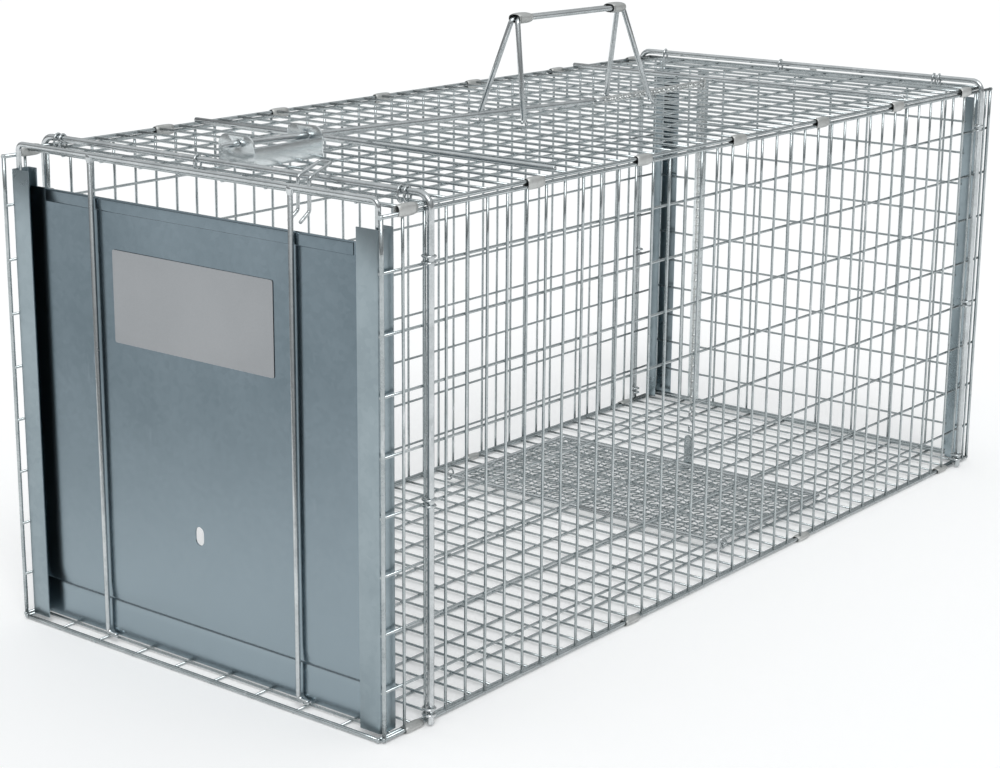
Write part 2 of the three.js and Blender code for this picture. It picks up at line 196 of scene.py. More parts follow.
def finishMaterial(name, look):
    material = bpy.data.materials.new(name)
    material.use_nodes = True
    tree = material.node_tree
    shader = tree.nodes["Principled BSDF"]
    shader.inputs["Metallic"].default_value = look["metal"]
    coords = put(tree, "ShaderNodeTexCoord").outputs["Object"]
    tone = out(
        tree,
        "ShaderNodeGroup",
        {
            "Vector": coords,
            "Crystal Scale": look["crystal"],
            "Cloud Scale": look["cloud"],
            "Cloud Share": look["cloudShare"],
        },
        node_tree=spangle,
    )
    worn = out(
        tree,
        "ShaderNodeGroup",
        {"Vector": coords, "Scale": look["rubScale"], "Stretch": look["rubAlong"], "Cover": look["rubCover"]},
        node_tree=rubbed,
    )
    height = out(
        tree, "ShaderNodeGroup",
        {"Vector": coords, "Scale": look["grain"], "Grit": look["grit"]},
        node_tree=grain,
    )
    body = put(
        tree, "ShaderNodeMix", {0: tone, 6: (*look["dark"], 1), 7: (*look["light"], 1)}, data_type="RGBA"
    ).outputs[2]
    # painted reflection: a look with a foot has its colour drawn lighter below a sloping line across the
    # sheet
    foot = look.get("foot")
    if foot:
        x, _, z = put(tree, "ShaderNodeSeparateXYZ", {0: coords}).outputs
        line = calc(tree, "MULTIPLY_ADD", x, foot["slope"], foot["height"])
        below = calc(tree, "SUBTRACT", line, z)
        shade = out(
            tree,
            "ShaderNodeMapRange",
            {0: below, 1: -foot["soft"], 2: foot["soft"], 4: foot["share"]},
            interpolation_type="SMOOTHSTEP",
        )
        paintedReflectionColour = (*foot["paintedReflectionColour"], 1)
        body = put(tree, "ShaderNodeMix", {0: shade, 6: body, 7: paintedReflectionColour}, data_type="RGBA").outputs[2]
    colour = put(
        tree, "ShaderNodeMix", {0: worn, 6: body, 7: (*look["rub"], 1)}, data_type="RGBA"
    ).outputs[2]
    lowRough, highRough = look["rough"]
    rough = out(tree, "ShaderNodeMapRange", {0: tone, 3: highRough, 4: lowRough})
    bump = out(tree, "ShaderNodeBump", {"Strength": look["bump"], "Distance": 0.0004, "Height": height})
    tree.links.new(colour, shader.inputs["Base Color"])
    tree.links.new(rough, shader.inputs["Roughness"])
    tree.links.new(bump, shader.inputs["Normal"])
    return material


brightWireLook = {
    "metal": 1.0,
    "dark": (0.44, 0.47, 0.48),
    "light": (0.67, 0.70, 0.71),
    "rub": (0.78, 0.80, 0.81),
    "crystal": 900.0,
    "cloud": 60.0,
    "cloudShare": 0.7,
    "rubScale": 40.0,
    "rubAlong": (6.0, 1.0, 1.0),
    "rubCover": 0.35,
    "rough": (0.16, 0.28),
    "grain": 900.0,
    "grit": 0.15,
    "bump": 0.06,
}
meshWireLook = {
    **brightWireLook, "dark": (0.34, 0.38, 0.39), "light": (0.55, 0.59, 0.60), "rough": (0.18, 0.32)
}
chainLook = {
    **brightWireLook, "dark": (0.55, 0.57, 0.57), "light": (0.80, 0.82, 0.81), "rough": (0.2, 0.36)
}
doorLook = {
    **brightWireLook,
    "dark": (0.130, 0.172, 0.197),
    "light": (0.215, 0.268, 0.302),
    "rub": (0.31, 0.36, 0.40),
    "crystal": 260.0,
    "cloud": 5.0,
    "cloudShare": 0.82,
    "rubScale": 30.0,
    "rubAlong": (9.0, 1.0, 0.8),
    "rubCover": 0.15,
    "rough": (0.17, 0.25),
    "grain": 260.0,
    "bump": 0.05,
    # painted reflection: the door's zinc is drawn lighter below a sloping line towards its foot; middle and
    # half width of the change, and its slope
    "foot": {"height": 0.110, "slope": 0.08, "soft": 0.110, "paintedReflectionColour": (0.33, 0.40, 0.44), "share": 0.85},
}
bracketLook = {
    **doorLook,
    "foot": None,
    "dark": (0.58, 0.63, 0.64),
    "light": (0.82, 0.86, 0.87),
    "rough": (0.20, 0.32),
}
channelLook = {
    **doorLook,
    "foot": None,
    "dark": (0.27, 0.33, 0.36),
    "light": (0.39, 0.46, 0.49),
    "rub": (0.52, 0.56, 0.58),
    "cloud": 9.0,
    "rough": (0.24, 0.36),
}
clipLook = {
    **brightWireLook,
    "metal": 0.7,
    "dark": (0.42, 0.43, 0.42),
    "light": (0.60, 0.61, 0.60),
    "rub": (0.62, 0.63, 0.62),
    "rough": (0.42, 0.60),
    "bump": 0.3,
}
labelLook = {
    **brightWireLook,
    "metal": 0.0,
    "dark": (0.32, 0.335, 0.35),
    "light": (0.37, 0.385, 0.40),
    "rub": (0.44, 0.45, 0.46),
    "crystal": 1500.0,
    "cloud": 14.0,
    "rubCover": 0.1,
    "rough": (0.42, 0.55),
    "bump": 0.05,
}
print("materials")
brightWire = finishMaterial("brightWire", brightWireLook)
meshWire = finishMaterial("meshWire", meshWireLook)
chainZinc = finishMaterial("chainZinc", chainLook)
doorZinc = finishMaterial("doorZinc", doorLook)
channelZinc = finishMaterial("channelZinc", channelLook)
bracketZinc = finishMaterial("bracketZinc", bracketLook)
clipZinc = finishMaterial("clipZinc", clipLook)
labelPlate = finishMaterial("labelPlate", labelLook)


def solidPiece(name, mesh, material, body, replaced):
    mesh.name = name
    mesh.materials.clear()
    mesh.materials.append(material)
    piece = bpy.data.objects.new(name, mesh)
    bpy.context.scene.collection.objects.link(piece)
    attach(piece, body)
    if replaced:
        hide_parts(*replaced)
    return piece


def wirePiece(name, parts, nodes, body="cage"):
    return solidPiece(name, meshOf(name, parts), brightWire, body, nodes)


def meshOf(name, parts, smooth=True):
    # parts are lists of (points, faces)
    points, faces = [], []
    for some, their in parts:
        base = len(points)
        points += [tuple(p) for p in some]
        faces += [[i + base for i in face] for face in their]
    mesh = bpy.data.meshes.new(name)
    mesh.from_pydata(points, [], faces)
    mesh.update()
    if smooth:
        mesh.shade_smooth()
    return mesh


def bent(corners, radius, steps=8):
    # straight runs joined by arcs
    path = [corners[0]]
    for before, here, after in zip(corners, corners[1:], corners[2:]):
        into, out = (here - before).normalized(), (after - here).normalized()
        turn = into.angle(out)
        side = (out - into * into.dot(out)).normalized()
        start = here - into * radius * math.tan(turn / 2)
        for k in range(steps + 1):
            angle = turn * k / steps
            path.append(start + into * radius * math.sin(angle) + side * radius * (1 - math.cos(angle)))
    return path + [corners[-1]]


def arc(centre, first, second, radius, start, end, steps):
    # points round a centre, from the first direction towards the second
    angles = [math.radians(start + (end - start) * k / steps) for k in range(steps + 1)]
    return [centre + (first * math.cos(a) + second * math.sin(a)) * radius for a in angles]


def ringFaces(rings, around, closed=False):
    # quads between rings of points, capped unless the last ring meets the first
    faces = []
    for i in range(rings if closed else rings - 1):
        j = (i + 1) % rings
        for k in range(around):
            m = (k + 1) % around
            faces.append([i * around + k, i * around + m, j * around + m, j * around + k])
    if not closed:
        faces.append(list(reversed(range(around))))
        faces.append([(rings - 1) * around + k for k in range(around)])
    return faces


def tube(path, radius, sides=12, closed=False):
    # a round bar along the path, with slightly rounded ends
    path = [Vector(p) for p in path]
    radii = list(radius) if isinstance(radius, (list, tuple)) else [radius] * len(path)
    if not closed:
        ease = 0.35
        first = path[0] + (path[1] - path[0]).normalized() * radii[0] * ease
        last = path[-1] + (path[-2] - path[-1]).normalized() * radii[-1] * ease
        path = [path[0], first] + path[1:-1] + [last, path[-1]]
        radii = [radii[0] * 0.65] + radii + [radii[-1] * 0.65]
    count = len(path)
    points = []
    normal = None
    for i, here in enumerate(path):
        before = path[i - 1] if closed or i else here
        after = path[(i + 1) % count] if closed or i < count - 1 else here
        along = (after - before).normalized()
        if normal is None:
            normal = along.orthogonal().normalized()
        normal = (normal - along * normal.dot(along)).normalized()
        across = along.cross(normal)
        for k in range(sides):
            angle = 2 * math.pi * k / sides
            points.append(here + (normal * math.cos(angle) + across * math.sin(angle)) * radii[i])
    return points, ringFaces(count, sides, closed)


def sweepSection(section, u, v, along, lengths):
    # a closed outline in the plane of u and v, carried along a straight line
    points = [u * a + v * b + along * t for t in lengths for a, b in section]
    return points, ringFaces(len(lengths), len(section))


def strip(path, thick):
    # the outline of a bent strip: its centre line offset to both sides
    left, right = [], []
    for i, here in enumerate(path):
        before = path[i - 1] if i else here
        after = path[i + 1] if i < len(path) - 1 else here
        along = (after - before).normalized()
        side = Vector((-along.y, along.x)) * thick / 2
        left.append(here + side)
        right.append(here - side)
    return [tuple(p) for p in left + right[::-1]]


def turnOutward(mesh):
    shell = bmesh.new()
    shell.from_mesh(mesh)
    bmesh.ops.remove_doubles(shell, verts=shell.verts, dist=1e-6)
    bmesh.ops.recalc_face_normals(shell, faces=shell.faces)
    shell.to_mesh(mesh)
    shell.free()


def eased(name, mesh, width, angle=35):
    # small rounds along sharp edges, applied
    holder = bpy.data.objects.new(name + "_holder", mesh)
    bpy.context.scene.collection.objects.link(holder)
    bevel = holder.modifiers.new("ease", "BEVEL")
    bevel.width = width
    bevel.segments = 2
    bevel.limit_method = "ANGLE"
    bevel.angle_limit = math.radians(angle)
    bpy.context.view_layer.update()
    graph = bpy.context.evaluated_depsgraph_get()
    made = bpy.data.meshes.new_from_object(holder.evaluated_get(graph), depsgraph=graph)
    bpy.data.objects.remove(holder)
    made.shade_smooth()
    made.set_sharp_from_angle(angle=math.radians(40))
    return made


def cutSheet(name, outer, holes, thick, splits=(), warp=None):
    # a flat sheet in the XZ plane with holes, from y = 0 forwards, split along lines and then shaped
    sheet = bmesh.new()
    edges = []
    for loop in [outer, *holes]:
        ring = [sheet.verts.new((x, 0, z)) for x, z in loop]
        edges += [sheet.edges.new((ring[i], ring[(i + 1) % len(ring)])) for i in range(len(ring))]
    bmesh.ops.triangle_fill(sheet, use_beauty=True, edges=edges)
    for place, direction in splits:
        bmesh.ops.bisect_plane(
            sheet, geom=sheet.verts[:] + sheet.edges[:] + sheet.faces[:], plane_co=place, plane_no=direction
        )
    if warp:
        for vertex in sheet.verts:
            vertex.co.y += warp(vertex.co.x, vertex.co.z)
    bmesh.ops.recalc_face_normals(sheet, faces=sheet.faces)
    grown = bmesh.ops.extrude_face_region(sheet, geom=sheet.faces[:], use_keep_orig=True)
    moved = [item for item in grown["geom"] if isinstance(item, bmesh.types.BMVert)]
    bmesh.ops.translate(sheet, verts=moved, vec=(0, thick, 0))
    bmesh.ops.recalc_face_normals(sheet, faces=sheet.faces)
    mesh = bpy.data.meshes.new(name)
    sheet.to_mesh(mesh)
    sheet.free()
    return mesh


def straightBar(name, section, axes, lengths, ease, angle=35):
    # a bar of one section along a straight line, its sharp edges eased
    mesh = meshOf(name, [sweepSection(section, *axes, lengths)], False)
    turnOutward(mesh)
    return eased(name, mesh, ease, angle)


def outlineArc(x, z, radius, start, end, steps):
    # points of an arc for a flat outline in the XZ plane
    angles = [math.radians(start + (end - start) * k / steps) for k in range(steps + 1)]
    return [(x + radius * math.cos(a), z + radius * math.sin(a)) for a in angles]


def roundHole(z, radius, steps):
    return outlineArc(0, z, radius, 0, 360, steps)[:-1]


def joinMeshes(name, meshes):
    whole = bmesh.new()
    for mesh in meshes:
        whole.from_mesh(mesh)
    made = bpy.data.meshes.new(name)
    whole.to_mesh(made)
    whole.free()
    return made


def meshPanelTree():
    # uprights run along Y, cross wires along X, and Z is the depth from the outer face
    takes = [
        ("Width", "float"), ("Height", "float"),
        ("Upright Count", "int"), ("Upright First", "float"), ("Upright Pitch", "float"),
        ("Cross Count", "int"), ("Cross First", "float"), ("Cross Pitch", "float"),
        ("Wire Radius", "float"), ("Edge Radius", "float"),
        ("Upright Depth", "float"), ("Cross Depth", "float"), ("Edge Depth", "float"),
        ("Waver", "float"), ("Seed", "float"), ("Material", "material"),
    ]
    tree, given = newGroup("weldedMeshPanel", "GeometryNodeTree", takes, [("Mesh", "geometry")])
    quarter = math.pi / 2
    bar = {"Vertices": 8, "Side Segments": 12}

    def row(count, start, step, radius, length, turn):
        rod = put(tree, "GeometryNodeMeshCylinder", {**bar, "Radius": radius, "Depth": length})
        rounded = put(
            tree, "GeometryNodeSetShadeSmooth",
            {"Geometry": rod.outputs["Mesh"], "Selection": rod.outputs["Side"]},
        )
        places = put(
            tree, "GeometryNodeMeshLine",
            {"Count": count, "Start Location": start, "Offset": step},
            mode="OFFSET",
        )
        return out(
            tree,
            "GeometryNodeInstanceOnPoints",
            {"Points": places.outputs[0], "Instance": rounded.outputs[0], "Rotation": turn},
        )

    halfWidth = calc(tree, "MULTIPLY", given["Width"], 0.5)
    halfHeight = calc(tree, "MULTIPLY", given["Height"], 0.5)
    edgeGap = calc(tree, "MULTIPLY", given["Edge Radius"], -2.0)
    upright = row(
        given["Upright Count"],
        point(tree, given["Upright First"], halfHeight, given["Upright Depth"]),
        point(tree, given["Upright Pitch"]),
        given["Wire Radius"],
        calc(tree, "SUBTRACT", given["Height"], given["Edge Radius"]),
        (quarter, 0, 0),
    )
    cross = row(
        given["Cross Count"],
        point(tree, halfWidth, given["Cross First"], given["Cross Depth"]),
        point(tree, 0.0, given["Cross Pitch"]),
        given["Wire Radius"],
        calc(tree, "SUBTRACT", given["Width"], given["Edge Radius"]),
        (0, quarter, 0),
    )
    endEdges = row(
        2,
        point(tree, given["Edge Radius"], halfHeight, given["Edge Depth"]),
        point(tree, calc(tree, "ADD", given["Width"], edgeGap)),
        given["Edge Radius"],
        given["Height"],
        (quarter, 0, 0),
    )
    longEdges = row(
        2,
        point(tree, halfWidth, given["Edge Radius"], given["Edge Depth"]),
        point(tree, 0.0, calc(tree, "ADD", given["Height"], edgeGap)),
        given["Edge Radius"],
        given["Width"],
        (0, quarter, 0),
    )
    # weld nuggets where the wires cross
    spanX = calc(
        tree, "MULTIPLY", given["Upright Pitch"], calc(tree, "SUBTRACT", given["Upright Count"], 1.0)
    )
    spanY = calc(
        tree, "MULTIPLY", given["Cross Pitch"], calc(tree, "SUBTRACT", given["Cross Count"], 1.0)
    )
    crossings = put(
        tree,
        "GeometryNodeMeshGrid",
        {
            "Size X": spanX, "Size Y": spanY,
            "Vertices X": given["Upright Count"], "Vertices Y": given["Cross Count"],
        },
    )
    middle = point(
        tree,
        calc(tree, "MULTIPLY_ADD", spanX, 0.5, given["Upright First"]),
        calc(tree, "MULTIPLY_ADD", spanY, 0.5, given["Cross First"]),
        calc(tree, "MULTIPLY", calc(tree, "ADD", given["Upright Depth"], given["Cross Depth"]), 0.5),
    )
    moved = put(tree, "GeometryNodeTransform", {"Geometry": crossings.outputs[0], "Translation": middle})
    bead = put(
        tree,
        "GeometryNodeMeshIcoSphere",
        {"Radius": calc(tree, "MULTIPLY", given["Wire Radius"], 1.2), "Subdivisions": 1},
    )
    nuggets = out(
        tree, "GeometryNodeInstanceOnPoints", {"Points": moved.outputs[0], "Instance": bead.outputs[0]}
    )
    whole = out(tree, "GeometryNodeJoinGeometry", {0: [upright, cross, endEdges, longEdges, nuggets]})
    real = out(tree, "GeometryNodeRealizeInstances", {0: whole})
    # wires are never quite straight
    drift = put(
        tree,
        "ShaderNodeTexNoise",
        {"Vector": out(tree, "GeometryNodeInputPosition"), "W": given["Seed"], "Scale": 7.0, "Detail": 1.0},
        noise_dimensions="4D",
    ).outputs["Color"]
    centred = out(tree, "ShaderNodeVectorMath", {0: drift, 1: (0.5, 0.5, 0.5)}, operation="SUBTRACT")
    flatWise = out(tree, "ShaderNodeVectorMath", {0: centred, 1: (1.0, 1.0, 0.25)}, operation="MULTIPLY")
    offset = out(tree, "ShaderNodeVectorMath", {0: flatWise, "Scale": given["Waver"]}, operation="SCALE")
    shifted = out(tree, "GeometryNodeSetPosition", {"Geometry": real, "Offset": offset})
    return closeTree(tree, shifted, given["Material"])


meshPanels = meshPanelTree()
panelWire = {"radius": 1.0 * mm, "edge": 1.4 * mm, "sink": 0.5 * mm, "waver": 1.6 * mm, "inset": 0.4 * mm}


def meshPanel(name, matrix, size, uprights, crosses, uprightOut, seed, body, replaced):
    wire = panelWire["radius"]
    near, far = wire, 3 * wire - panelWire["sink"]
    mesh = growMesh(
        name,
        meshPanels,
        {
            "Width": size[0],
            "Height": size[1],
            "Upright Count": uprights[0],
            "Upright First": uprights[1],
            "Upright Pitch": uprights[2],
            "Cross Count": crosses[0],
            "Cross First": crosses[1],
            "Cross Pitch": crosses[2],
            "Wire Radius": wire,
            "Edge Radius": panelWire["edge"],
            "Upright Depth": near if uprightOut else far,
            "Cross Depth": far if uprightOut else near,
            "Edge Depth": panelWire["edge"],
            "Waver": panelWire["waver"],
            "Seed": float(seed),
            "Material": meshWire,
        },
    )
    keep = 1 - 2 * panelWire["inset"] / size[0], 1 - 2 * panelWire["inset"] / size[1]
    centre = Vector((size[0] / 2, size[1] / 2, 0))
    fitted = Matrix.Translation(centre) @ Matrix.Diagonal((*keep, 1, 1)) @ Matrix.Translation(-centre)
    mesh.transform(matrix @ fitted)
    if matrix.determinant() < 0:
        mesh.flip_normals()
    return solidPiece(name, mesh, meshWire, body, replaced)


def frameOf(u, v, w, origin):
    # the matrix that lays local X, Y, Z along u, v, w
    return Matrix.Translation(origin) @ Matrix([[u[i], v[i], w[i]] for i in range(3)]).to_4x4()


xAxis, yAxis, zAxis = Vector((1, 0, 0)), Vector((0, 1, 0)), Vector((0, 0, 1))
closePitch = 20 * mm
widePitch = 38 * mm

print("cage panels")
sideSize = (sideHigh.y - sideLow.y, sideHigh.z - sideLow.z)
sides = [("left", -1), ("right", 1)]
for word, outward in sides:
    outer = Vector((outward * sideHigh.x, sideLow.y, sideLow.z))
    meshPanel(
        word + "SideMesh",
        frameOf(yAxis, zAxis, -xAxis * outward, outer),
        sideSize,
        (39, closePitch, closePitch),
        (8, 31.8 * mm, widePitch),
        True,
        outward + 2,
        "cage",
        [word + "_side_mesh"],
    )
roofWidth, roofLength = roofHigh.x - roofLow.x, roofHigh.y - roofLow.y
roofCells = 37
roofEdge = panelWire["edge"]
roofPitch = (roofLength - 2 * roofEdge) / roofCells
meshPanel(
    "roofMesh",
    frameOf(xAxis, yAxis, -zAxis, Vector((roofLow.x, roofLow.y, roofHigh.z))),
    (roofWidth, roofLength),
    (8, roofWidth / 2 - 3.5 * widePitch, widePitch),
    (roofCells - 1, roofEdge + roofPitch, roofPitch),
    False,
    5,
    "cage",
    ["roof_mesh"],
)
floorWidth, floorLength = floorHigh.x - floorLow.x, floorHigh.y - floorLow.y
meshPanel(
    "floorMesh",
    frameOf(xAxis, yAxis, -zAxis, Vector((floorLow.x, floorLow.y, floorHigh.z))),
    (floorWidth, floorLength),
    (8, floorWidth / 2 - 3.5 * widePitch, widePitch),
    (39, 14 * mm, closePitch),
    False,
    6,
    "cage",
    ["floor_mesh"],
)
gateLow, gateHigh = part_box("rear_gate_mesh")
gateWidth, gateHeight = gateHigh.x - gateLow.x, gateHigh.z - gateLow.z
gateFace = gateHigh.y + 0.6 * mm
gateRows = 12
meshPanel(
    "rearGateMesh",
    frameOf(xAxis, zAxis, -yAxis, Vector((gateLow.x, gateFace, gateLow.z))),
    (gateWidth, gateHeight),
    (8, gateWidth / 2 - 3.5 * widePitch, widePitch),
    (gateRows - 1, gateHeight / gateRows, gateHeight / gateRows),
    True,
    7,
    "rear_gate",
    ["rear_gate_mesh"],
)


def arch(half, y, low, top):
    return [
        Vector((-half, y, low)), Vector((-half, y, top)), Vector((half, y, top)), Vector((half, y, low))
    ]


print("hoops and wires")
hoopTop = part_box("front_hoop")[1].z
hoop = {"radius": 2.3 * mm, "bend": 9 * mm, "out": 175.1 * mm}
for name, node in [("frontHoop", "front_hoop"), ("rearHoop", "rear_hoop")]:
    low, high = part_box(node)
    y = (low.y + high.y) / 2
    top = high.z - hoop["radius"]
    corners = arch(hoop["out"], y, low.z, top)
    wirePiece(name, [tube(bent(corners, hoop["bend"]), hoop["radius"], 16)], [node])

low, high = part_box("front_frame_wire")
frameRadius = (high.y - low.y) / 2
frameY = (low.y + high.y) / 2
frameBend = 5 * mm
frameCorners = arch(high.x - frameRadius, frameY, low.z, high.z - frameRadius)
wirePiece("frontFrameWire", [tube(bent(frameCorners, frameBend), frameRadius, 14)], ["front_frame_wire"])

guard = {
    "radius": 1.75 * mm,
    "bend": 3.5 * mm,
    "weld": 2.5 * mm,
    # height in mm and share of the weld's radius
    "weldShape": [(-5, 0.72), (-3.4, 0.86), (-2, 0.98), (-0.8, 1.0), (0.6, 0.94), (2.2, 0.7)],
}
for name, node in [("leftGuardWire", "left_guard_wire"), ("rightGuardWire", "right_guard_wire")]:
    low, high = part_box(node)
    radius = guard["radius"]
    x, y, footZ = low.x + radius, (low.y + high.y) / 2, low.z + radius
    top = Vector((x, y, high.z + 1.5 * mm))
    shaft = bent([Vector((high.x, y, footZ)), Vector((x, y, footZ)), top], guard["bend"], 6)
    weldStops = [top + zAxis * stop * mm for stop, share in guard["weldShape"]]
    weld = tube(weldStops, [guard["weld"] * share for stop, share in guard["weldShape"]], 12)
    wirePiece(name, [tube(shaft, radius, 12), weld], [node])

for name, node in [("frontRoofBrace", "front_roof_brace"), ("rearRoofBrace", "rear_roof_brace")]:
    low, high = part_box(node)
    middle = (low + high) / 2
    radius = (high.z - low.z) / 2
    ends = [Vector((low.x, middle.y, middle.z)), middle, Vector((high.x, middle.y, middle.z))]
    wirePiece(name, [tube(ends, radius, 12)], [node])


def scatterTree():
    takes = [("Points", "geometry"), ("Piece", "object"), ("Material", "material")]
    tree, given = newGroup("scatterPieces", "GeometryNodeTree", takes, [("Mesh", "geometry")])
    shape = put(tree, "GeometryNodeObjectInfo", {"Object": given["Piece"], "As Instance": False})
    turn = put(
        tree, "GeometryNodeInputNamedAttribute", {"Name": "turn"}, data_type="FLOAT_VECTOR"
    ).outputs["Attribute"]
    rotation = out(tree, "FunctionNodeEulerToRotation", {0: turn})
    placed = out(
        tree,
        "GeometryNodeInstanceOnPoints",
        {"Points": given["Points"], "Instance": shape.outputs["Geometry"], "Rotation": rotation},
    )
    real = out(tree, "GeometryNodeRealizeInstances", {0: placed})
    return closeTree(tree, real, given["Material"])


scatter = scatterTree()


def scatterPieces(name, shape, places, nodes, material):
    base = bpy.data.meshes.new(name + "_points")
    base.from_pydata([tuple(place) for place, turn in places], [], [])
    turns = base.attributes.new("turn", "FLOAT_VECTOR", "POINT")
    turns.data.foreach_set("vector", [value for place, turn in places for value in turn])
    pattern = bpy.data.objects.new(name + "_pattern", shape)
    bpy.context.scene.collection.objects.link(pattern)
    mesh = growMesh(name, scatter, {"Piece": pattern, "Material": material}, base)
    bpy.data.objects.remove(pattern)
    return solidPiece(name, mesh, material, "cage", nodes)


def sleeveShape(name, halfWide, halfTall, long, wall):
    # a rolled sleeve: an oval tube along Y, slightly fuller in the middle and open at its ends
    around, rings = 20, 7
    points, faces = [], []
    for shell, shrink in [(0, 0.0), (1, wall)]:
        for i in range(rings):
            t = i / (rings - 1)
            full = 1 - 0.16 * (2 * t - 1) ** 4 * (1 - shell)
            for k in range(around):
                a = 2 * math.pi * k / around
                squareness = 0.82
                x = math.copysign(
                    abs(math.cos(a)) ** squareness, math.cos(a)
                ) * (halfWide - shrink) * full
                z = math.copysign(
                    abs(math.sin(a)) ** squareness, math.sin(a)
                ) * (halfTall - shrink) * full
                points.append(Vector((x, (t - 0.5) * long, z)))
    for i in range(rings - 1):
        for k in range(around):
            m = (k + 1) % around
            a, b = i * around, (i + 1) * around
            faces.append([a + k, a + m, b + m, b + k])
            c, d = a + rings * around, b + rings * around
            faces.append([c + m, c + k, d + k, d + m])
    for i in (0, rings - 1):
        for k in range(around):
            m = (k + 1) % around
            a, b = i * around, (i + rings) * around
            faces.append([a + k, a + m, b + m, b + k])
    mesh = meshOf(name, [(points, faces)])
    turnOutward(mesh)
    return mesh


print("sleeves and rings")
sleeveWall = 0.7 * mm
level = (0, 0, 0)
for word, side in sides:
    for place, count in [("top", 7), ("bottom", 4)]:
        nodes = [f"{word}_{place}_clip_{i + 1}" for i in range(count)]
        boxes = [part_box(node) for node in nodes]
        low, high = boxes[0]
        halfWide, halfTall = (high.x - low.x) / 2, (high.z - low.z) / 2
        shape = sleeveShape("sleeve", halfWide, halfTall, high.y - low.y + 1 * mm, sleeveWall)
        places = [((low + high) / 2, level) for low, high in boxes]
        scatterPieces(f"{word}{place.title()}Sleeves", shape, places, nodes, clipZinc)


def loopShape(name, halfWide, halfTall, wireRadius):
    # a closed oval loop of wire in the YZ plane
    steps = 20
    angles = [2 * math.pi * k / steps for k in range(steps)]
    path = [Vector((0, math.cos(a) * halfWide, math.sin(a) * halfTall)) for a in angles]
    return meshOf(name, [tube(path, wireRadius, 8, True)])


tie = {
    "wire": 0.8 * mm,
    "half": 3.9 * mm,
    "grip": 2 * mm,  # how far a tie reaches below the panel's face
    "frontRoof": (-160, -155, -23, 152, 157),  # places along the hoops, in mm
    "rearRoof": (-148, -23, 130, 135),
    "sides": (300, 304, 147, 151, 8, 12),
}
frontHoopY = sum(corner.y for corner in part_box("front_hoop")) / 2
rearHoopY = sum(corner.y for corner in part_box("rear_hoop")) / 2
tieZ = (hoopTop + roofHigh.z - tie["grip"]) / 2
tieTall = (hoopTop - roofHigh.z + tie["grip"]) / 2 + tie["wire"]
roofTies = [(x, frontHoopY) for x in tie["frontRoof"]] + [(x, rearHoopY) for x in tie["rearRoof"]]
places = []
for i, (x, y) in enumerate(roofTies):
    turn = math.radians(4 + 3 * (i % 3))  # each turned a little
    places.append((Vector((x * mm, y, tieZ)), (0, 0, turn)))
shape = loopShape("roofTie", tie["half"], tieTall, tie["wire"])
scatterPieces("roofTies", shape, places, [], brightWire)
hoopFace = hoop["out"] + hoop["radius"]
tieX = (hoopFace + sideHigh.x - tie["grip"]) / 2
tieWide = (hoopFace - sideHigh.x + tie["grip"]) / 2 + tie["wire"] / 2
places = []
for side in (-1, 1):
    for y in (frontHoopY, rearHoopY):
        for z in tie["sides"]:
            places.append((Vector((side * tieX, y, z * mm)), (0, math.radians(90), 0)))
shape = loopShape("sideTie", tie["half"], tieWide, tie["wire"])
scatterPieces("sideTies", shape, places, [], brightWire)


print("channels and door")
channel = {"sheet": 1 * mm, "bend": 1.4 * mm, "innerFlange": 9 * mm, "ease": 0.22 * mm}
acrossAxes = (yAxis, zAxis, xAxis)  # for bars that run from side to side


def channelPiece(name, node, side, inward):
    low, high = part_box(node)
    thick = channel["sheet"]
    middle = thick / 2
    web = max(abs(low.x), abs(high.x)) - middle
    wide = min(abs(low.x), abs(high.x))
    narrow = web + middle - channel["innerFlange"]
    face = low.y if inward > 0 else high.y
    depth = high.y - low.y
    run = [(wide, middle), (web, middle), (web, depth - middle), (narrow, depth - middle)]
    corners = [Vector((x * side, face + y * inward, 0)) for x, y in run]
    section = strip([Vector((p.x, p.y)) for p in bent(corners, channel["bend"], 5)], thick)
    lengths = [low.z + (high.z - low.z) * k / 8 for k in range(9)]
    mesh = straightBar(name, section, (xAxis, yAxis, zAxis), lengths, channel["ease"])
    solidPiece(name, mesh, channelZinc, "cage", [node])


for place, inward in (("Door", 1), ("Rear", -1)):
    for word, side in sides:
        channelPiece(f"{word}{place}Channel", f"{word}_{place.lower()}_channel", side, inward)


door = {
    "sheet": 1 * mm,
    "crease": 26 * mm,  # above the bottom edge
    "creaseDepth": 0.9 * mm,
    "hemHeight": 9 * mm,
    "hemHalf": 140 * mm,
    "slot": (4 * mm, 2.5 * mm),
    "slotHeight": 96 * mm,
    "fold": 0.6 * mm,  # how far the hem stands out on each face
    "ripple": 0.22 * mm,
}


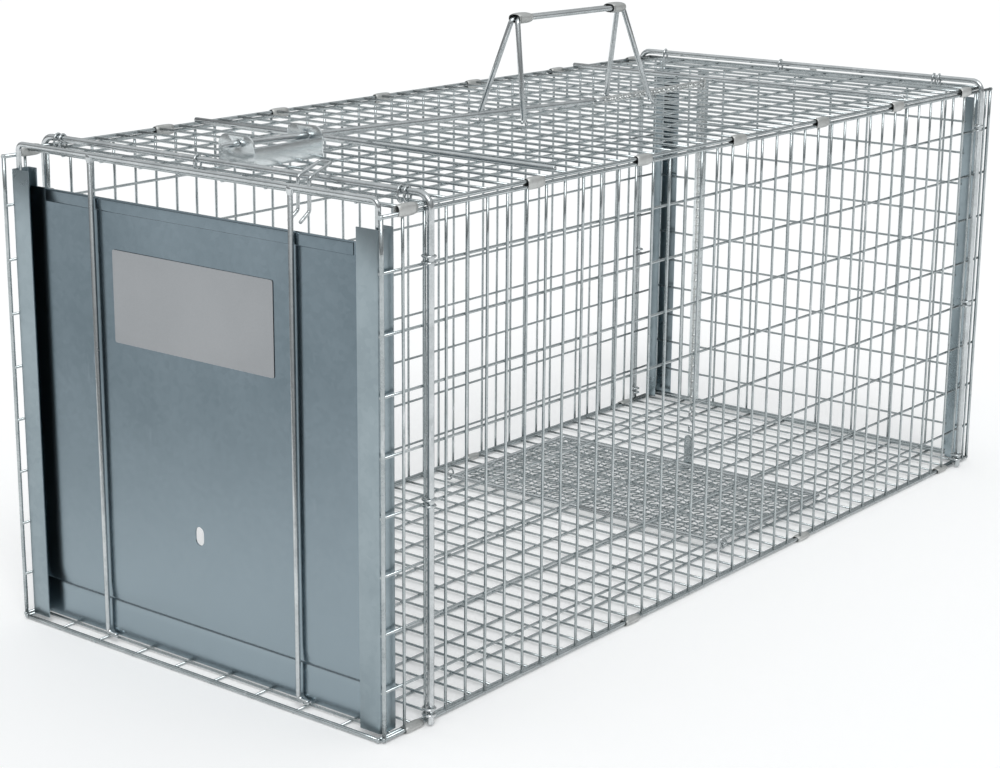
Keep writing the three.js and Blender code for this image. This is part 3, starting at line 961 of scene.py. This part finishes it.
def doorPiece():
    low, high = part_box("door_panel")
    face = low.y + door["fold"]  # the sheet stands behind the hem
    outer = [(low.x, low.z), (high.x, low.z), (high.x, high.z), (low.x, high.z)]
    radius, rise = door["slot"]
    hole = outlineArc(0, door["slotHeight"] + rise, radius, 0, 180, 8)
    hole += outlineArc(0, door["slotHeight"] - rise, radius, 180, 360, 8)
    creaseAt = low.z + door["crease"]
    splits = [((0, 0, creaseAt + d * mm), (0, 0, 1)) for d in (-1.2, 0, 1.2)]
    splits += [((0, 0, low.z + (high.z - low.z) * k / 16), (0, 0, 1)) for k in range(1, 16)]
    splits += [((low.x + (high.x - low.x) * k / 16, 0, 0), (1, 0, 0)) for k in range(1, 16)]

    def warp(x, z):
        wave = noise.noise(Vector((x * 9, 3.7, z * 7))) * door["ripple"]
        groove = max(0.0, 1 - abs(z - creaseAt) / (1.25 * mm)) * door["creaseDepth"] * 0.6
        lip = max(0.0, (creaseAt - z) / door["crease"]) * -0.25 * mm
        return wave + groove + lip

    panel = cutSheet("doorSheet", outer, [hole], door["sheet"], splits, warp)
    panel.transform(Matrix.Translation((0, face, 0)))
    panel.shade_smooth()
    half, fold = door["hemHalf"], door["fold"]
    back, hemFoot = face + door["sheet"], high.z - door["hemHeight"]
    section = [
        (face + 0.1 * mm, hemFoot), (face - fold, hemFoot + 0.6 * mm),
        (face - fold, high.z - 1.0 * mm), (face + 0.2 * mm, high.z),
        (back - 0.2 * mm, high.z), (back + fold, high.z - 1.0 * mm),
        (back + fold, hemFoot + 0.6 * mm), (back - 0.1 * mm, hemFoot),
    ]
    hem = straightBar("doorHem", section, acrossAxes, [-half, -half / 2, 0, half / 2, half], 0.3 * mm, 25)
    mesh = joinMeshes("doorPanel", [panel, hem])
    mesh.shade_smooth()
    mesh.set_sharp_from_angle(angle=math.radians(38))
    solidPiece("doorPanel", mesh, doorZinc, "door", ["door_panel"])


doorPiece()


def labelPiece():
    low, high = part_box("door_label")
    corner = 1.5 * mm
    outer = []
    for cx, cz, start in [
        (high.x - corner, high.z - corner, 0),
        (low.x + corner, high.z - corner, 90),
        (low.x + corner, low.z + corner, 180),
        (high.x - corner, low.z + corner, 270),
    ]:
        outer += outlineArc(cx, cz, corner, start, start + 90, 4)
    mesh = cutSheet("doorLabel", outer, [], high.y - low.y)
    mesh.transform(Matrix.Translation((0, low.y, 0)))
    mesh = eased("doorLabel", mesh, 0.08 * mm)
    solidPiece("doorLabel", mesh, labelPlate, "door", ["door_label"])


labelPiece()


print("latch, bracket and rod")
lock = {
    "radius": 1.2 * mm,
    "bend": 2.4 * mm,
    "side": [(14.8, 317), (23.5, 323), (24, 344), (44, 351)],  # back and up in mm, from the tip to the loop
}
low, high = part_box("door_lock")
legs = []
for x in (low.x + lock["radius"], high.x - lock["radius"]):
    legs.append([Vector((x, spot(0, y, 0).y, z * mm)) for y, z in lock["side"]])
lockPath = bent(legs[0] + legs[1][::-1], lock["bend"], 5)
wirePiece("doorLock", [tube(lockPath, lock["radius"], 10)], ["door_lock"], "door_lock")

bracket = {"sheet": 1.5 * mm, "corner": 7 * mm, "hole": 2.9 * mm, "webTall": 13 * mm, "ease": 0.2 * mm}
rod = {
    "radius": 2.2 * mm,
    "tip": spot(0, 38, 352.7),
    "long": 406 * mm,
    "slope": 0.0288,
    "point": [(0, 0.5), (3, 0.66), (6, 0.82), (9, 0.95)],  # mm from the tip, share of the radius
    "stops": (12, 60, 140, 240, 340, 400, 406),
    "hook": 4.2 * mm,
    "hookWire": 1.6 * mm,
}
rodAlong = Vector((0, 1, -rod["slope"])).normalized()


def rodHeight(y):
    return rod["tip"].z - (y - rod["tip"].y) * rod["slope"]


def bracketPiece():
    low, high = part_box("trigger_bracket")
    corner = bracket["corner"]
    meshes = []
    for y in (low.y, high.y - bracket["sheet"]):
        outer = [(low.x, low.z), (high.x, low.z)]
        for cx, start in ((high.x - corner, 0), (low.x + corner, 90)):
            outer += outlineArc(cx, high.z - corner, corner, start, start + 90, 8)
        hole = roundHole(rodHeight(y + bracket["sheet"] / 2), bracket["hole"], 20)
        ear = cutSheet("ear", outer, [hole], bracket["sheet"])
        ear.transform(Matrix.Translation((0, y, 0)))
        meshes.append(eased("ear", ear, bracket["ease"]))
    inset = 0.2 * mm
    rise = low.z + bracket["webTall"]
    front, rear = low.y + inset, high.y - inset
    outline = [(front, low.z), (rear, low.z), (rear, rise), (front, rise)]
    lengths = [high.x - bracket["sheet"], high.x - 0.05 * mm]
    meshes.append(straightBar("web", outline, acrossAxes, lengths, bracket["ease"]))
    mesh = joinMeshes("triggerBracket", meshes)
    solidPiece("triggerBracket", mesh, bracketZinc, "cage", ["trigger_bracket"])


bracketPiece()


def rodPiece():
    tip, long, radius = rod["tip"], rod["long"], rod["radius"]
    shape = rod["point"] + [(stop, 1) for stop in rod["stops"]]
    line = [tip + rodAlong * stop * mm for stop, share in shape]
    shaft = tube(line, [radius * share for stop, share in shape], 14)
    loop = rod["hook"]
    eye = tip + rodAlong * (long + loop)
    start = tip + rodAlong * (long - 6 * mm)
    path = [start] + arc(eye, xAxis, rodAlong, loop, -90, 198, 16)
    wirePiece("triggerRod", [shaft, tube(path, rod["hookWire"], 10)], ["trigger_rod"], "trigger_rod")


rodPiece()


def chainTree():
    # links along a line of points, each twisted along its own length and rolled about the line
    takes = [
        ("Path", "geometry"), ("Pitch", "float"), ("Link Radius", "float"), ("Link Stretch", "float"),
        ("Wire Radius", "float"), ("Twist", "float"), ("Roll", "float"), ("Material", "material"),
    ]
    tree, given = newGroup("linkChain", "GeometryNodeTree", takes, [("Mesh", "geometry")])
    ring = out(
        tree, "GeometryNodeCurvePrimitiveCircle",
        {"Resolution": 12, "Radius": given["Link Radius"]},
        mode="RADIUS",
    )
    here = out(tree, "GeometryNodeInputPosition")
    x = out(tree, "ShaderNodeSeparateXYZ", {0: here})
    stretch = point(tree, calc(tree, "MULTIPLY", calc(tree, "SIGN", x), given["Link Stretch"]))
    oval = out(tree, "GeometryNodeSetPosition", {"Geometry": ring, "Offset": stretch})
    again = out(tree, "GeometryNodeInputPosition")
    x = out(tree, "ShaderNodeSeparateXYZ", {0: again})
    twisted = out(
        tree,
        "ShaderNodeVectorRotate",
        {"Vector": again, "Axis": (1.0, 0.0, 0.0), "Angle": calc(tree, "MULTIPLY", x, given["Twist"])},
        rotation_type="AXIS_ANGLE",
    )
    curled = out(tree, "GeometryNodeSetPosition", {"Geometry": oval, "Position": twisted})
    section = out(
        tree, "GeometryNodeCurvePrimitiveCircle",
        {"Resolution": 6, "Radius": given["Wire Radius"]},
        mode="RADIUS",
    )
    link = out(tree, "GeometryNodeCurveToMesh", {0: curled, 1: section})
    line = out(tree, "GeometryNodeMeshToCurve", {0: given["Path"]})
    stops = out(
        tree, "GeometryNodeResampleCurve", {"Curve": line, "Length": given["Pitch"]}, mode="LENGTH"
    )
    along = out(tree, "GeometryNodeInputTangent")
    aimed = out(tree, "FunctionNodeAlignRotationToVector", {"Vector": along}, axis="X")
    roll = out(tree, "FunctionNodeAxisAngleToRotation", {"Axis": (1.0, 0.0, 0.0), "Angle": given["Roll"]})
    turned = out(
        tree, "FunctionNodeRotateRotation", {"Rotation": aimed, "Rotate By": roll}, rotation_space="LOCAL"
    )
    links = out(
        tree, "GeometryNodeInstanceOnPoints", {"Points": stops, "Instance": link, "Rotation": turned}
    )
    real = out(tree, "GeometryNodeRealizeInstances", {0: links})
    smooth = out(tree, "GeometryNodeSetShadeSmooth", {"Geometry": real})
    return closeTree(tree, smooth, given["Material"])


print("chain")
chains = chainTree()
treadleTravel = 34.1 * mm  # how far the rod and the chain's lower end move
chain = {
    "pitch": treadleTravel / 5,
    "linkRadius": 1.95 * mm,
    "linkStretch": 2.0 * mm,
    "wireRadius": 0.95 * mm,
    "twist": math.radians(80) / (7 * mm),
    "roll": math.radians(68),
    "inner": 0.94,  # the hidden links' wire, as a share of the others'
    "topGap": 2.5 * mm,
}


def chainPiece(name, path, body, replaced, wire):
    base = bpy.data.meshes.new(name + "_line")
    first, last = path
    base.from_pydata([tuple(first), tuple((first + last) / 2), tuple(last)], [(0, 1), (1, 2)], [])
    mesh = growMesh(
        name,
        chains,
        {
            "Pitch": chain["pitch"],
            "Link Radius": chain["linkRadius"],
            "Link Stretch": chain["linkStretch"],
            "Wire Radius": wire,
            "Twist": chain["twist"],
            "Roll": chain["roll"],
            "Material": chainZinc,
        },
        base,
    )
    return solidPiece(name, mesh, chainZinc, body, replaced)


runLow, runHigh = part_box("chain_roof_run")
dropLow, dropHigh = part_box("chain_drop")
dropY = (dropLow.y + dropHigh.y) / 2
runZ = (runLow.z + runHigh.z) / 2
feedEnd = Vector((0, dropY, runZ))
runEnd = feedEnd - yAxis * chain["pitch"]
runLinks = round((runEnd.y - runLow.y) / chain["pitch"])
runStart = runEnd - yAxis * chain["pitch"] * runLinks
linkWire = chain["wireRadius"]
chainPiece("chainRoofRun", (runStart, runEnd), "trigger_rod", ["chain_roof_run"], linkWire)
# waits inside the run's own links and shows as the run is drawn forwards
feedStart = runEnd - yAxis * treadleTravel
chainPiece("chainRoofFeed", (feedStart, feedEnd), "cage", [], linkWire * chain["inner"])
dropTop = Vector((0, dropY, dropHigh.z - chain["topGap"]))
dropEnd = Vector((0, dropY, dropLow.z))
drop = chainPiece("chainDrop", (dropTop, dropEnd), "cage", ["chain_drop"], linkWire)
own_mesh(drop)

hook = {"bend": 4 * mm, "upper": 52 * mm, "lower": 40 * mm, "wire": 1.1 * mm}
upper, lower = (Vector((0, dropY, hook[key])) for key in ("upper", "lower"))
hookPath = arc(upper, yAxis, zAxis, hook["bend"], -40, 200, 12)
hookPath += arc(lower, yAxis, zAxis, hook["bend"], 20, -220, 12)
wirePiece("sHook", [tube(hookPath, hook["wire"], 10)], ["s_hook"], "chain_hook")

treadleStrip = {"sheet": 1.2 * mm, "hole": 1.6 * mm, "ease": 0.2 * mm}


def linkPiece():
    low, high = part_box("treadle_link")
    thick, ease = treadleStrip["sheet"], treadleStrip["ease"]
    half = (high.x - low.x) / 2
    face = high.y - thick
    outer = [(-half, low.z + 1 * mm), (half, low.z + 1 * mm)]
    outer += outlineArc(0, high.z - half, half, 0, 180, 12)
    flat = cutSheet("linkStrip", outer, [roundHole(high.z - half, treadleStrip["hole"], 16)], thick)
    flat.transform(Matrix.Translation((0, face, 0)))
    rear = high.y - 0.2 * mm
    foot = [(low.y, low.z), (rear, low.z), (rear, low.z + thick), (low.y, low.z + thick)]
    base = straightBar("linkFoot", foot, acrossAxes, [-half * 0.98, half * 0.98], ease)
    mesh = joinMeshes("treadleLink", [eased("strip", flat, ease), base])
    solidPiece("treadleLink", mesh, bracketZinc, "chain_hook", ["treadle_link"])


linkPiece()


def wovenTree():
    # crimped wires that pass over and under each other, in the XY plane round the origin
    takes = [
        ("Length", "float"), ("Width", "float"), ("Long Count", "int"), ("Cross Count", "int"),
        ("Pitch X", "float"), ("Pitch Y", "float"), ("Crimp", "float"), ("Wire Radius", "float"),
        ("Material", "material"),
    ]
    tree, given = newGroup("wovenMesh", "GeometryNodeTree", takes, [("Mesh", "geometry")])

    def weave(sign):
        here = out(tree, "GeometryNodeInputPosition")
        split = put(tree, "ShaderNodeSeparateXYZ", {0: here}).outputs
        waves = []
        for value, pitch in ((split[0], given["Pitch X"]), (split[1], given["Pitch Y"])):
            waves.append(
                calc(tree, "COSINE", calc(tree, "MULTIPLY", calc(tree, "DIVIDE", value, pitch), math.pi))
            )
        height = calc(tree, "MULTIPLY", calc(tree, "MULTIPLY", waves[0], waves[1]), given["Crimp"])
        return point(tree, 0.0, 0.0, calc(tree, "MULTIPLY", height, sign))

    def row(count, start, step, end, samples, sign):
        line = out(tree, "GeometryNodeCurvePrimitiveLine", {"Start": end[0], "End": end[1]})
        fine = out(tree, "GeometryNodeResampleCurve", {"Curve": line, "Count": samples}, mode="COUNT")
        places = out(
            tree, "GeometryNodeMeshLine",
            {"Count": count, "Start Location": start, "Offset": step},
            mode="OFFSET",
        )
        laid = out(tree, "GeometryNodeInstanceOnPoints", {"Points": places, "Instance": fine})
        real = out(tree, "GeometryNodeRealizeInstances", {0: laid})
        return out(tree, "GeometryNodeSetPosition", {"Geometry": real, "Offset": weave(sign)})

    halfLong = calc(tree, "MULTIPLY", given["Length"], 0.5)
    halfWide = calc(tree, "MULTIPLY", given["Width"], 0.5)
    negLong, negWide = calc(tree, "MULTIPLY", halfLong, -1.0), calc(tree, "MULTIPLY", halfWide, -1.0)
    spanX = calc(tree, "MULTIPLY", calc(tree, "SUBTRACT", given["Cross Count"], 1.0), given["Pitch X"])
    spanY = calc(tree, "MULTIPLY", calc(tree, "SUBTRACT", given["Long Count"], 1.0), given["Pitch Y"])
    longWires = row(
        given["Long Count"],
        point(tree, 0.0, calc(tree, "MULTIPLY", spanY, -0.5)),
        point(tree, 0.0, given["Pitch Y"]),
        (point(tree, negLong), point(tree, halfLong)),
        calc(tree, "MULTIPLY_ADD", given["Cross Count"], 4.0, 1.0),
        1.0,
    )
    crossWires = row(
        given["Cross Count"],
        point(tree, calc(tree, "MULTIPLY", spanX, -0.5)),
        point(tree, given["Pitch X"]),
        (point(tree, 0.0, negWide), point(tree, 0.0, halfWide)),
        calc(tree, "MULTIPLY_ADD", given["Long Count"], 4.0, 1.0),
        -1.0,
    )
    both = out(tree, "GeometryNodeJoinGeometry", {0: [longWires, crossWires]})
    section = out(
        tree, "GeometryNodeCurvePrimitiveCircle",
        {"Resolution": 5, "Radius": given["Wire Radius"]},
        mode="RADIUS",
    )
    wires = out(tree, "GeometryNodeCurveToMesh", {0: both, 1: section, "Fill Caps": True})
    smooth = out(tree, "GeometryNodeSetShadeSmooth", {"Geometry": wires})
    real = out(tree, "GeometryNodeRealizeInstances", {0: smooth})
    return closeTree(tree, real, given["Material"])


print("treadle")
woven = wovenTree()
frameLow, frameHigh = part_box("treadle_frame")
plateLow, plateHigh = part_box("treadle_mesh")
treadle = {
    "bar": 2 * mm,
    "crossCount": 35,
    "longCount": 19,
    "wire": 0.6 * mm,
    "crimp": 0.62 * mm,
    "overlap": 2 * mm,  # the mesh runs on to the frame
    "rimOut": 2.3 * mm,
    "rimBend": 3 * mm,
    "ringWire": 0.8 * mm,
}
plateLength, plateWidth = plateHigh.x - plateLow.x, plateHigh.y - plateLow.y
plateMiddle = (plateLow + plateHigh) / 2
wovenMesh = growMesh(
    "treadleMesh",
    woven,
    {
        "Length": plateLength + treadle["overlap"],
        "Width": plateWidth + treadle["overlap"],
        "Long Count": treadle["longCount"],
        "Cross Count": treadle["crossCount"],
        "Pitch X": plateLength / treadle["crossCount"],
        "Pitch Y": plateWidth / treadle["longCount"],
        "Crimp": treadle["crimp"],
        "Wire Radius": treadle["wire"],
        "Material": meshWire,
    },
)
wovenMesh.transform(Matrix.Translation(plateMiddle))
solidPiece("treadleMesh", wovenMesh, meshWire, "treadle", ["treadle_mesh"])

barRadius = treadle["bar"] * 0.95
barZ = plateMiddle.z
front, rear = frameLow.y + treadle["bar"], frameHigh.y - treadle["bar"]
half = plateHigh.x + treadle["rimOut"]
rimCorners = [
    (0, front), (half, front), (half, rear), (0, rear), (-half, rear), (-half, front), (-1 * mm, front)
]
rim = bent([Vector((x, y, barZ)) for x, y in rimCorners], treadle["rimBend"], 5)
rim = [p for i, p in enumerate(rim) if not i or (p - rim[i - 1]).length > 1e-6]
stubs = [
    tube(
        [Vector((side * (half - 4 * mm), front, barZ)), Vector((side * frameHigh.x, front, barZ))],
        barRadius, 12,
    )
    for side in (-1, 1)
]
wirePiece("treadleFrame", [tube(rim, barRadius, 12), *stubs], ["treadle_frame"], "treadle")
for name, node in [("leftTreadleRing", "left_treadle_ring"), ("rightTreadleRing", "right_treadle_ring")]:
    low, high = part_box(node)
    wire = treadle["ringWire"]
    mesh = loopShape(name, (high.y - low.y) / 2 - wire, (high.z - low.z) / 2 - wire, wire)
    mesh.transform(Matrix.Translation((low + high) / 2))
    solidPiece(name, mesh, brightWire, "cage", [node])


def gateStrip():
    low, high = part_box("rear_gate_strip")
    outer = [(low.x, low.z), (high.x, low.z), (high.x, high.z), (low.x, high.z)]
    flat = cutSheet("gateStrip", outer, [], high.y - low.y)
    flat.transform(Matrix.Translation((0, low.y, 0)))
    mesh = eased("gateStrip", flat, 0.2 * mm)
    solidPiece("rearGateStrip", mesh, bracketZinc, "rear_gate", ["rear_gate_strip"])


def lathe(profile, centre, sides=20):
    # a closed turned shape about Z, from (radius, height) pairs that start and end on the axis
    points = []
    inner = profile[1:-1]
    for radius, height in inner:
        for k in range(sides):
            a = 2 * math.pi * k / sides
            points.append(centre + Vector((radius * math.cos(a), radius * math.sin(a), height)))
    return points, ringFaces(len(inner), sides)


print("gate and handle")
gateStrip()
low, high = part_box("rear_gate_knob")
# radius and height in mm
knob = [
    (0, 0), (3.2, 0), (3.9, 0.6), (3.9, 2.6), (3.0, 3.6),
    (3.0, 5.2), (3.9, 6.2), (3.9, 8.3), (3.2, 9), (0, 9),
]
knobFoot = Vector(((low.x + high.x) / 2, (low.y + high.y) / 2, low.z))
knobMesh = meshOf("rearGateKnob", [lathe([(r * mm, h * mm) for r, h in knob], knobFoot)])
solidPiece("rearGateKnob", knobMesh, clipZinc, "rear_gate", ["rear_gate_knob"])


handle = {
    "radius": 2 * mm,
    "ends": (326, 490),  # feet and top corners, back from the front in mm
    "tops": (342, 476),
    "bend": 5 * mm,
    "curl": 3.2 * mm,
    "curlWire": 1.3 * mm,
    "sleeveWall": 0.9 * mm,
    "sleeveOut": 3.5 * mm,  # the sleeves are pushed on to the corners of the bails
}
for word, side in sides:
    name, node = word + "HandleBail", word + "_handle_bail"
    low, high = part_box(node)
    radius = handle["radius"]
    top = high.z - radius
    foot = (high.x if side > 0 else low.x) - side * radius
    inner = (low.x if side > 0 else high.x) + side * radius
    ends = [spot(0, y, 0).y for y in handle["ends"]]
    tops = [spot(0, y, 0).y for y in handle["tops"]]
    start = roofHigh.z + radius * 0.6
    corners = [
        Vector((foot, ends[0], start)), Vector((inner, tops[0], top)),
        Vector((inner, tops[1], top)), Vector((foot, ends[1], start)),
    ]
    parts = [tube(bent(corners, handle["bend"], 8), radius, 14)]
    for end in ends:
        eye = Vector((foot, end, roofHigh.z - 0.4 * mm))
        parts.append(tube(arc(eye, yAxis, zAxis, handle["curl"], -150, 150, 14), handle["curlWire"], 8))
    wirePiece(name, parts, [node])

sleeveNodes = ["front_handle_sleeve", "rear_handle_sleeve"]
boxes = [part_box(node) for node in sleeveNodes]
low, high = boxes[0]
wall = handle["sleeveWall"]
shape = sleeveShape("handleSleeve", (high.x - low.x) / 2, (high.z - low.z) / 2, high.y - low.y, wall)
places = []
for (low, high), way in zip(boxes, (-1, 1)):
    places.append(((low + high) / 2 + yAxis * handle["sleeveOut"] * way, level))
scatterPieces("handleSleeves", shape, places, sleeveNodes, clipZinc)


def paperMaterial(name, colour, glow):
    material = bpy.data.materials.new(name)
    material.use_nodes = True
    tree = material.node_tree
    shader = tree.nodes["Principled BSDF"]
    coords = put(tree, "ShaderNodeTexCoord").outputs["Object"]
    cloud = out(tree, "ShaderNodeTexNoise", {"Vector": coords, "Scale": 2.0})
    shade = out(tree, "ShaderNodeMapRange", {0: cloud, 3: colour * 0.995, 4: colour})
    tree.links.new(shade, shader.inputs["Base Color"])
    shader.inputs["Roughness"].default_value = 1.0
    shader.inputs["Specular IOR Level"].default_value = 0.0
    shader.inputs["Emission Color"].default_value = (1, 1, 1, 1)
    shader.inputs["Emission Strength"].default_value = glow
    return material


print("studio")
studio = {
    "floorHalf": 40.0,
    "floorColour": 0.90,
    "floorGlow": 0.15,
    "sun": 1.1,
    "sunSpread": 30,
    "sunTurn": (26, 30, 0),
    "sky": (0.97, 0.99, 1.0),
    "top": 0.84,
    "horizon": 0.18,
}
halfFloor = studio["floorHalf"]
floorMesh = bpy.data.meshes.new("studioFloor")
floorMesh.from_pydata(
    [
        (-halfFloor, -halfFloor, 0), (halfFloor, -halfFloor, 0),
        (halfFloor, halfFloor, 0), (-halfFloor, halfFloor, 0),
    ],
    [],
    [[0, 1, 2, 3]],
)
floorMesh.materials.append(paperMaterial("palePaper", studio["floorColour"], studio["floorGlow"]))
studioFloor = bpy.data.objects.new("studioFloor", floorMesh)
bpy.context.scene.collection.objects.link(studioFloor)

world = bpy.data.worlds.new("studio")
bpy.context.scene.world = world
world.use_nodes = True
sky = world.node_tree
background = sky.nodes["Background"]
upward = put(
    sky, "ShaderNodeSeparateXYZ", {0: put(sky, "ShaderNodeTexCoord").outputs["Generated"]}
).outputs[2]
glow = out(
    sky, "ShaderNodeMapRange", {0: upward, 1: 0.05, 2: 0.75, 3: studio["horizon"], 4: studio["top"]}
)
sky.links.new(glow, background.inputs["Strength"])
background.inputs["Color"].default_value = (*studio["sky"], 1)

sun = bpy.data.lights.new("key", "SUN")
sun.energy = studio["sun"]
sun.angle = math.radians(studio["sunSpread"])
sunObject = bpy.data.objects.new("key", sun)
sunObject.rotation_euler = [math.radians(a) for a in studio["sunTurn"]]
bpy.context.scene.collection.objects.link(sunObject)

shot = {
    "place": (0.9966, -1.3220, 0.5668), "azimuth": 38.39, "elevation": 15.06, "roll": 0.48, "lens": 77.9
}


def placeCamera():
    camera = bpy.data.cameras.new("camera")
    camera.sensor_width = 36
    camera.lens = shot["lens"]
    camera.clip_start = 0.05
    camera.clip_end = 200
    azimuth, elevation, roll = (math.radians(shot[key]) for key in ("azimuth", "elevation", "roll"))
    back = Vector(
        (
            math.sin(azimuth) * math.cos(elevation),
            -math.cos(azimuth) * math.cos(elevation),
            math.sin(elevation),
        )
    )
    right = Vector((math.cos(azimuth), math.sin(azimuth), 0))
    up = back.cross(right)
    across = right * math.cos(roll) + up * math.sin(roll)
    above = up * math.cos(roll) - right * math.sin(roll)
    turn = Matrix([[across[i], above[i], back[i]] for i in range(3)]).to_4x4()
    holder = bpy.data.objects.new("camera", camera)
    holder.matrix_world = Matrix.Translation(shot["place"]) @ turn
    bpy.context.scene.collection.objects.link(holder)
    bpy.context.scene.camera = holder


placeCamera()
bpy.context.scene.view_settings.view_transform = "Standard"
bpy.context.view_layer.update()
